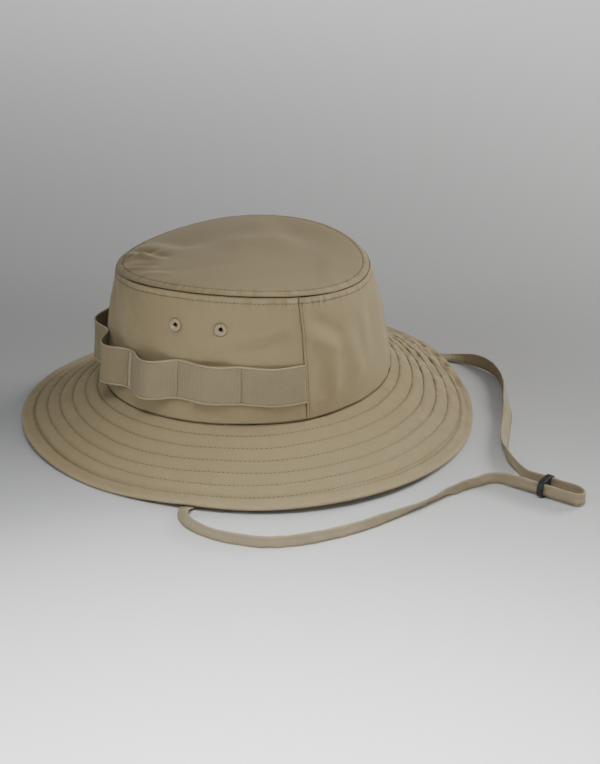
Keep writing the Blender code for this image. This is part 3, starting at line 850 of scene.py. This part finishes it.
def makeTip():
    angles = circle(900)
    a, s = grid(angles, np.concatenate((np.linspace(0.006, 0.88, 62), np.linspace(0.88, 1.0, 44)[1:])))
    points, shade = tipSurface(a, s)
    # the middle is closed with one face, and the rim turns down into the seam
    rim = points[:, -1:] - np.array((0, 0, 0.0005))
    points = np.concatenate((points, rim), 1)
    shade = np.concatenate((shade, shade[:, -1:]), 1)
    faces = gridFaces(*shade.shape, True).reshape(-1, 4)[:, ::-1]
    piece = newPiece("crownTop", points.reshape(-1, 3) + crownPlace, faces.tolist(), hatCloth)
    addClothMap(piece, faces, points[..., 0], points[..., 1], shade, 0)
    mesh = bmesh.new()
    mesh.from_mesh(piece.data)
    mesh.verts.ensure_lookup_table()
    layer = mesh.loops.layers.float_vector.get("clothMap")
    middle = mesh.faces.new([mesh.verts[i * shade.shape[1]] for i in range(len(angles))])
    middle.smooth = True
    for loop in middle.loops:
        loop[layer] = Vector((loop.vert.co.x, loop.vert.co.y, 0))
    mesh.to_mesh(piece.data)
    mesh.free()
    thicken(piece, 0.0007)
    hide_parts("crown_tip")


makeTip()
print("crown top made")

brimShape = {
    "reach": 0.0595,
    "reachWaves": ((1, 0.003, 90), (2, 0.0042, 25), (3, 0.0041, 7)),
    "edge": 0.0026,
    "edgeWaves": ((3, 0.0029, 2),),
    "strapLifts": ((-42, 0.0032, 15), (96, 0.0016, 12)),
    "hem": 0.005,
    "droop": 0.16,
    "stack": 0.003485,
    "top": 0.00308,  # outer face of the upper cloth above the middle of the under cloth
    "bottom": -0.00035,
    "rows": 6,
    "firstRow": 0.0095,
    "rowPitch": 0.0086,
    "puff": 0.00115,
    "groove": 0.00045,
    # how crumpled it is, how deep the step at the outer band is, and how dark the painted shade at that step
    # is: crest in degrees, height, spread
    "crumples": ((90, 4.2, 20), (45, 0.6, 22), (-125, 0.4, 30), (-165, 0.7, 26), (140, 0.8, 30)),
    "steps": ((62, 1, 40), (-120, 0.6, 40)),
    "stepShades": ((50, 1, 50), (-125, 0.8, 30)),
}


def brimReach(angle):
    return brimShape["reach"] + ripple(angle, brimShape["reachWaves"])


def brimPoint(angle, share, level):
    reach = brimReach(angle)
    width, length, height = crownShape["foot"]
    underFoot = height + ripple(angle, crownShape["footWaves"]) - brimShape["stack"]
    edge = np.maximum(brimShape["edge"] + ripple(angle, brimShape["edgeWaves"]), 0.00035)
    lift = localBumps(angle, brimShape["strapLifts"])
    run = np.minimum(share / (1 - brimShape["hem"] / reach), 1)
    run = run + brimShape["droop"] * run * (1 - run)
    return np.stack(((width / 2 + reach * share) * np.cos(angle), (length / 2 + reach * share) * np.sin(angle),
                     underFoot + (edge - underFoot) * run + lift * run * run + level), -1)


def rowShares():
    return [1 - (brimShape["firstRow"] + brimShape["rowPitch"] * k) / brimShape["reach"]
            for k in range(brimShape["rows"])][::-1]


def rowDrift(angle, share):  # the rows of stitching wander a little
    return 0.01 * softNoise(angle / fullTurn, share, 22, 4, 41)


def bandPlace(angle, share):
    # share of the way across its own band, and metres from the nearest row of stitching
    rows = np.array([-0.11] + rowShares() + [1.0])
    warped = share + rowDrift(angle, share) * np.clip((1 - share) / 0.1, 0, 1)
    k = np.clip(np.searchsorted(rows, warped, side="right") - 1, 0, len(rows) - 2)
    t = np.clip((warped - rows[k]) / (rows[k + 1] - rows[k]), 0, 1)
    near = np.abs(warped[..., None] - rows[1:-1]).min(-1) * brimReach(angle)
    return k, t, near


def brimTopLevel(angle, share):
    k, t, near = bandPlace(angle, share)
    around = angle / fullTurn
    swell = np.sin(math.pi * t) ** 0.55
    swell = np.where(k == brimShape["rows"], np.sin(math.pi * np.clip(t * 0.62, 0, 1)) ** 0.5, swell)
    swell = np.where(k == 0, swell * 0.45, swell)
    uneven = (1 + 0.3 * softNoise(around + 0.13 * k, t, 34, 1, 42)
              + 0.2 * softNoise(around + 0.37 * k, t, 90, 1, 43))
    crumple = 0.3 + localBumps(angle, brimShape["crumples"])
    crumple = crumple * (0.55 + 0.45 * np.clip(share, 0, 1) ** 2)
    tuck = softNoise(around + 0.11 * k, share, 230, 9, 44) * bell(near, 0.003)
    ruck = softNoise(around + 0.21 * k, share, 120, 12, 45) * np.sin(math.pi * t)
    sunk = bell(near, 0.0006)
    pressed = 1 - 0.62 * localBumps(angle, ((-22, 1, 42),))  # the front lies flatter than the sides
    level = (brimShape["top"] + brimShape["puff"] * swell * uneven * pressed
             - brimShape["groove"] * sunk * pressed + 0.0003 * crumple * tuck + 0.00042 * crumple * ruck)
    away = (1 - share) * brimReach(angle)
    level = level - 0.0011 * np.clip(1 - away / 0.005, 0, 1) ** 1.6
    step = 0.0006 + 0.001 * localBumps(angle, brimShape["steps"])
    level = level - step / (1 + np.exp((away - 0.0082) / 0.0006))  # the outer band sits a step lower
    level = level - 0.0012 * bell(share + 0.004, 0.014)
    level = level - 0.001 * pressed * bell(away - 0.009, 0.001)
    level = np.maximum(level, 0.00182)  # never down to the interlining
    # painted shade darkens the stitch grooves, the crown's foot, the step at the outer band and the hollows of
    # the crumples; painted light lies on the crowns of the bands and the crumples' ridges; the very edge is
    # lighter from rubbing
    stepShade = 0.45 * pressed + 0.9 * localBumps(angle, brimShape["stepShades"])
    shade = (-0.42 * sunk * pressed + 0.26 * (swell - 0.7) * pressed - 0.9 * bell(share + 0.002, 0.014)
             - stepShade * bell(away - 0.0088, 0.0008) + 0.55 * crumple * (tuck + 0.6 * ruck)
             + 0.3 * bell(away, 0.002))
    return level, shade


def makeBrimTop():
    angles = circle(1120)
    a, s = grid(angles, np.linspace(-0.012, 1, 132))
    s = s * (1 - 0.0014 / brimReach(a))
    level, shade = brimTopLevel(a, s)
    # the edge is turned round the interlining and under as a hem
    steps = np.linspace(0, math.pi, 10)[1:]
    last, start = level[:, -1:], s[:, -1:]
    reach = brimReach(angles)[:, None]
    radius = (last - brimShape["bottom"]) / 2
    noseShare = start + radius * np.sin(steps)[None] / reach
    noseLevel = (last + brimShape["bottom"]) / 2 + radius * np.cos(steps)[None]
    under = np.linspace(0, 0.0048, 8)[1:]
    hemShare = start - under[None] / reach
    hemLevel = np.broadcast_to(brimShape["bottom"], hemShare.shape) + 0.00025 * (under[None] > 0.0045)
    s = np.concatenate((s, noseShare, hemShare), 1)
    level = np.concatenate((level, noseLevel, hemLevel), 1)
    shade = np.concatenate((shade, np.full((len(angles), len(steps) + len(under)), 0.3)), 1)
    a = np.broadcast_to(angles[:, None], s.shape)
    points = brimPoint(a, s, level)
    across = np.broadcast_to(distances(points[300]), s.shape)
    clothGrid("brimUpperCloth", "brim_upper_cloth", points, a * brimRadius, across, shade,
              hatCloth, 0.0006, wrap=fullTurn * brimRadius, flip=True)


def brimUnderLevel(angle, share):
    k, t, near = bandPlace(angle, share)
    sunk = bell(near, 0.0007)
    uneven = softNoise(angle / fullTurn, share, 60, 8, 47)
    level = (brimShape["bottom"] + 0.0003 * sunk + 0.00022 * (1 - np.sin(math.pi * t) ** 0.5)
             + 0.00008 * (uneven + 1))
    # painted shade in the stitch grooves on the underside, with random mottling
    return level, -0.5 * sunk + 0.2 * uneven


def makeBrimUnder():
    a, s = grid(circle(720), np.linspace(-0.012, 1, 96))
    s = s * (1 - 0.0068 / brimReach(a))
    level, shade = brimUnderLevel(a, s)
    clothGrid("brimUnderCloth", "brim_under_cloth", brimPoint(a, s, level), a * brimRadius,
              s * brimShape["reach"], shade, hatCloth, 0.0006, wrap=fullTurn * brimRadius)


def makeInterlining():
    a, s = grid(circle(480), np.linspace(0.0, 1, 40))
    s = s * (1 - 0.0034 / brimReach(a))
    level = 0.0011 + 0.00003 * softNoise(a / fullTurn, s, 90, 12, 48)
    clothGrid("brimInterlining", "brim_interlining", brimPoint(a, s, level), a * brimRadius,
              s * brimShape["reach"], level * 0, brimFelt, 0.0008,
              wrap=fullTurn * brimRadius, flip=True)


makeBrimTop()
makeBrimUnder()
makeInterlining()
print("brim made")

webbingShape = {
    "height": 0.0285,
    "foot": 0.0135,
    "thickness": 0.0012,
    "clearance": 0.0003,
    "lap": 1.82,  # how far round from the right seam the folded end comes, in radians
    "bulges": (0.0015, 0.0035, 0.0075, 0.0088, 0.0075, 0.0035, 0.0015),  # from the right seam to the left
}
loopPitch = math.pi / len(webbingShape["bulges"])


def loopGap(turned):
    k = np.clip((turned / loopPitch).astype(int), 0, len(webbingShape["bulges"]) - 1)
    bulges = np.array(webbingShape["bulges"])[k]
    return webbingShape["clearance"] + bulges * np.sin(math.pi * (turned / loopPitch - k)) ** 2, bulges


def bandSurface(turned, across):  # across goes from 0 to 1 up the webbing
    angle = turned - math.pi
    gap, bulges = loopGap(turned)
    phase = turned / loopPitch
    held = np.abs(phase - np.round(phase)) * loopPitch * wallRadius  # metres from the nearest tack
    sag = 0.0004 * np.sin(math.pi * (phase - np.floor(phase))) * (bulges / 0.0088)
    raised = 0.0034 * localBumps(angle, ((-42, 1, 22), (-138, 1, 22)))
    height = webbingShape["foot"] + across * webbingShape["height"] - sag + raised
    flare = 0.0006 * (2 * across - 1) ** 2 * np.clip(gap / 0.004, 0, 1)
    edge = np.minimum(across, 1 - across) * webbingShape["height"]
    bead = 0.00016 * bell(edge - 0.0007, 0.0006) - 0.00014 * bell(edge - 0.0019, 0.0004)
    roll = -0.0004 * bell(edge, 0.00035)
    dent = -0.0003 * bell(held, 0.0009) * np.clip(edge / 0.002, 0, 1)
    # the folded end of the front piece lies over the next one
    lapAway = (turned - webbingShape["lap"]) * wallRadius
    dent = dent + 0.0011 / (1 + np.exp(lapAway / 0.00022)) * np.clip(1 + lapAway / 0.012, 0, 1)
    ease = 0.00035 * softNoise(turned / fullTurn, across, 44, 2, 51) + 0.00016 * softNoise(
        turned / fullTurn + 0.2, across, 90, 3, 52)
    follow = wallRelief(angle, height) * np.clip(1 - gap / 0.004, 0, 1)
    offset = (crownShape["cloth"] / 2 + gap + webbingShape["thickness"] + flare + bead + roll + dent
              + np.maximum(ease, -0.0002) + follow)
    return wallPoint(angle, height, offset)


def makeWebbing():
    a, v = grid(np.linspace(0.002, math.pi - 0.002, 900), edgedRows(0.11, 14, 30))
    points = bandSurface(a, v)
    edge = np.minimum(v, 1 - v) * webbingShape["height"]
    lapAway = np.abs((a - webbingShape["lap"]) * wallRadius + 0.0008)
    # lighter selvedges and a lighter folded end; painted shade in the groove inside each bead
    shade = (1.0 * (edge < 0.0013) - 0.55 * bell(edge - 0.0017, 0.0003) + 0.8 * (lapAway < 0.0009)
             - 0.15 * softNoise(a / fullTurn, v, 70, 3, 53))
    along = np.broadcast_to(distances(points[:, 20])[:, None], a.shape)
    clothGrid("loopBand", "loop_band", points, along, v * webbingShape["height"], shade,
              webbing, 0.001)


def makeTacks():
    rows = [pathNormals(bandSurface, np.full(60, k * loopPitch), np.linspace(0.05, 0.95, 60), 0.002)
            for k in range(1, len(webbingShape["bulges"]))]
    makeStitches("loopTacks", rows, darkThread, 0.00048, 0.0018, filled=0.62, rise=0.00006, seed=8)


makeWebbing()
makeTacks()
print("webbing loops made")

def turnedRing(name, node, profile, centre, facing, material, slot, wobble):
    sides, columns = 56, len(profile)
    across = Vector((0, 0, 1)).cross(facing).normalized()
    upright = facing.cross(across)
    turns = circle(sides)
    swells = 1 + wobble * np.sin(5 * turns + 1.3) + wobble * np.sin(9 * turns)
    points = []
    for turn, swell in zip(turns, swells):
        way = across * math.cos(turn) + upright * math.sin(turn)
        points += [tuple(centre + way * (radius * mm * swell) + facing * (height * mm))
                   for radius, height in profile]
    i, j = grid(np.arange(sides), np.arange(columns))
    nextI, nextJ = (i + 1) % sides, (j + 1) % columns
    faces = np.stack((i * columns + j, nextI * columns + j, nextI * columns + nextJ, i * columns + nextJ), -1)
    ring = newPiece(name, np.array(points) + crownPlace, faces.reshape(-1, 4).tolist(), material)
    capRims(ring)
    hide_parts(node)


def clothFace(angle, height):
    return wallPoint(angle, height, np.full(angle.shape, crownShape["cloth"] / 2))


def makeEyelets():
    for which, degrees in eyeletShape["angles"].items():
        angle = np.array([math.radians(degrees)])
        found = pathNormals(clothFace, angle, eyeletShape["rise"] * wallHeight(angle))
        place = [Vector(vector[0].tolist()) for vector in found]
        name = which.title().replace("_", "")
        turnedRing("eyelet" + name, "eyelet_" + which, eyeletShape["profile"], *place,
                   eyeletPaint, "eyelet_paint", 0.01)
        turnedRing("washer" + name, "washer_" + which, eyeletShape["washer"], *place,
                   washerMetal, "washer_metal", 0.004)


makeEyelets()
print("eyelets made")

liningShape = {
    "height": 0.03,
    "thickness": 0.001,
    "clearance": 0.0003,
    "tapeWidth": 0.012,
    "tapeThickness": 0.0006,
}


def sweatbandSurface(angle, across):
    height = across * liningShape["height"]
    edge = np.minimum(across, 1 - across) * liningShape["height"]
    around = angle / fullTurn
    ease = 0.0002 * (softNoise(around, across, 60, 3, 61) - 1)
    groove = 0.00022 * bell(edge - 0.0022, 0.0005)
    roll = 0.0005 * bell(edge, 0.0005)
    pucker = 0.00012 * softNoise(around, across, 170, 4, 62) * np.exp(-edge / 0.005)
    inside = crownShape["cloth"] / 2 + liningShape["clearance"] + liningShape["thickness"]
    return wallPoint(angle, height, -inside + groove + roll + ease + pucker)


def makeSweatband():
    a, v = grid(circle(560), edgedRows(0.12, 12, 22))
    edge = np.minimum(v, 1 - v) * liningShape["height"]
    # painted shade in the groove beside each stitched edge; lighter right at the edges
    shade = -0.4 * bell(edge - 0.0022, 0.0005) + 0.4 * (edge < 0.001)
    clothGrid("sweatband", "sweatband", sweatbandSurface(a, v), a * bandRadius, v * liningShape["height"],
              shade, sweatbandCloth, 0.0008, wrap=fullTurn * bandRadius, flip=True)
    stitched = []
    for across in (0.073, 0.927):
        points, normals = pathNormals(sweatbandSurface, np.linspace(0, fullTurn, 900), np.full(900, across))
        stitched.append((points, -normals))
    makeStitches("sweatbandStitches", stitched, seamThread, 0.00036, 0.003, seed=9)


def tapeSurface(angle, height, edge):
    inside = crownShape["cloth"] / 2 + liningShape["clearance"] + liningShape["tapeThickness"]
    roll = 0.0002 * bell(edge, 0.0004)
    ease = 0.0001 * softNoise(angle / fullTurn, height / 0.1, 140, 16, 63)
    return wallPoint(angle, height, -inside + roll + ease - 0.0001)


def makeTapes():
    width = liningShape["tapeWidth"]
    a, v = grid(circle(560), np.linspace(0, 1, 22))
    edge = np.minimum(v, 1 - v) * width
    points = tapeSurface(a, wallHeight(a) - 0.001 - width * (1 - v), edge)
    clothGrid("crownSeamTape", "crown_seam_tape", points, a * tapeRadius, v * width, 0.9 * (edge < 0.0009),
              seamBinding, 0.0005, wrap=fullTurn * tapeRadius, flip=True)
    half = width / 2 / (crownShape["foot"][0] / 2) * 0.8
    u, v = grid(np.linspace(-1, 1, 26), np.linspace(0, 1, 70))
    edge = (1 - np.abs(u)) * width / 2
    low = liningShape["height"] + 0.0006
    for side, middle in (("left", 0.0), ("right", math.pi)):
        a = middle + u * half
        heights = low + (wallHeight(a) - 0.001 - width - 0.0006 - low) * v
        clothGrid(side + "SeamTape", side + "_seam_tape", tapeSurface(a, heights, edge), heights,
                  u * width / 2 + width / 2, 0.9 * (edge < 0.0009), seamBinding, 0.0005, flip=True)


makeSweatband()
makeTapes()
print("sweatband and tapes made")


def makeSeamStitches():
    turn = np.linspace(0, fullTurn, 1600)
    row = crownShape["stitchRow"]
    under = pathNormals(wallSurface, turn, wallHeight(turn) - row, 0.0004)
    points, normals = pathNormals(tipPlace, turn, np.full(turn.shape, 1 - row / tipRadius), 0.0008)
    over = (points, facingUp(normals))
    makeStitches("crownSeamStitches", [under, over], seamThread, 0.00046, 0.0027,
                 filled=0.58, seed=3)
    rows = []
    for middle, way in ((0.0, 1), (math.pi, -1)):
        heights = np.linspace(0.002, 1, 200)[:-1] * (wallHeight(np.array([middle])) - row)
        angles = middle + way * crownShape["seamRow"] / (0.1015 - 0.17 * heights)
        rows.append(pathNormals(wallSurface, angles, heights, 0.0003))
    makeStitches("sideSeamStitches", rows, seamThread, 0.0004, 0.0026, seed=4)


def onTop(angle, share):
    return brimPoint(angle, share, brimTopLevel(angle, share)[0])


def beneath(angle, share):
    return brimPoint(angle, share, brimUnderLevel(angle, share)[0])


def makeBrimStitches():
    above, below = [], []
    turn = np.linspace(0, fullTurn, 2400)
    for share in rowShares():
        shares = share - rowDrift(turn, np.full(turn.shape, share))
        for surface, way, rows in ((onTop, 1, above), (beneath, -1, below)):
            points, normals = pathNormals(surface, turn, shares, 0.012)
            rows.append((points, way * facingUp(normals)))
    makeStitches("brimStitches", above, seamThread, 0.0005, 0.0031, filled=0.56, seed=6)
    makeStitches("brimUnderStitches", below, seamThread, 0.00036, 0.003, rise=0.00006, seed=7)


makeSeamStitches()
makeBrimStitches()
print("stitching made")

studio = {
    # how far towards the front, in metres, and the floor's painted tone there, which stands in for light
    # falling off behind and beside the hat
    "floorPaintedLight": ((-0.9, 0.7), (-0.25, 0.45), (0.04, 0.46), (0.24, 0.8), (0.5, 0.93)),
    "forward": (0.887, -0.462),  # the way to the front, along x and y
    "air": (0.93, 0.97, 1.0),
    "airStrength": 0.16,
    # name, place, what it faces, size, power, colour and spread
    "lamps": (
        ("keyLamp", (0.08, 1.2, 0.66), (0, 0, 0.06), 0.55, 12, (1.0, 0.97, 0.93), 180),
        ("frontLamp", (0.05, -2.5, 1.5), (0, 0, 0.06), 1.4, 11.5, (0.98, 0.99, 1.0), 180),
        ("sideLamp", (2.2, 1.32, 0.88), (0, 0, 0.06), 1.4, 12, (1.0, 0.99, 0.97), 180),
        ("floorLamp", (0.66, -0.36, 0.75), (0.5, -0.26, 0), 0.7, 3.6, (1.0, 1.0, 1.0), 50),
        ("backLamp", (-1.3, 0.9, 1.3), (-1.4, 0.8, 0), 1.2, 9, (1.0, 1.0, 1.0), 100),
    ),
}


def addLamp(name, place, aim, size, power, colour, spread):
    lamp = show(name, bpy.data.lights.new(name, "AREA"))
    lamp.data.shape = "DISK"
    lamp.data.size = size
    lamp.data.energy = power
    lamp.data.color = colour
    lamp.data.spread = math.radians(spread)
    lamp.location = place
    lamp.rotation_euler = (Vector(place) - Vector(aim)).to_track_quat("Z", "Y").to_euler()


def makeFloorFinish():
    # a floor with painted light and shade: darker behind and beside the hat, brightest towards the front
    sweep = Finish("floor with painted light", 0.8)
    parts = sweep.add("SeparateXYZ", sweep.add("TexCoord")["Object"])
    forward = [sweep.sums("MULTIPLY", part, share) for part, share in zip(parts, studio["forward"])]
    forward = sweep.sums("ADD", *forward)
    paintedTones = studio["floorPaintedLight"]
    low, high = paintedTones[0][0], paintedTones[-1][0]
    ramp = sweep.tree.nodes.new("ShaderNodeValToRGB")
    ramp.color_ramp.interpolation = "B_SPLINE"
    sweep.join(sweep.spread(forward, low, high), ramp.inputs[0])
    while len(ramp.color_ramp.elements) < len(paintedTones):
        ramp.color_ramp.elements.new(0.5)
    for element, (place, tone) in zip(ramp.color_ramp.elements, paintedTones):
        element.position = (place - low) / (high - low)
        element.color = (tone, tone * 1.005, tone * 1.01, 1)
    sweep.paint(ramp.outputs[0])
    return sweep.material


def makeStudio():
    mesh = bpy.data.meshes.new("floor")
    mesh.from_pydata([(-6, -6, 0), (6, -6, 0), (6, 6, 0), (-6, 6, 0)], [], [(0, 1, 2, 3)])
    mesh.materials.append(makeFloorFinish())
    show("floor", mesh)
    world = bpy.data.worlds.new("studio air")
    world.use_nodes = True
    world.node_tree.nodes["Background"].inputs[0].default_value = (*studio["air"], 1)
    world.node_tree.nodes["Background"].inputs[1].default_value = studio["airStrength"]
    bpy.context.scene.world = world
    for lamp in studio["lamps"]:
        addLamp(*lamp)


makeStudio()
print("studio made")
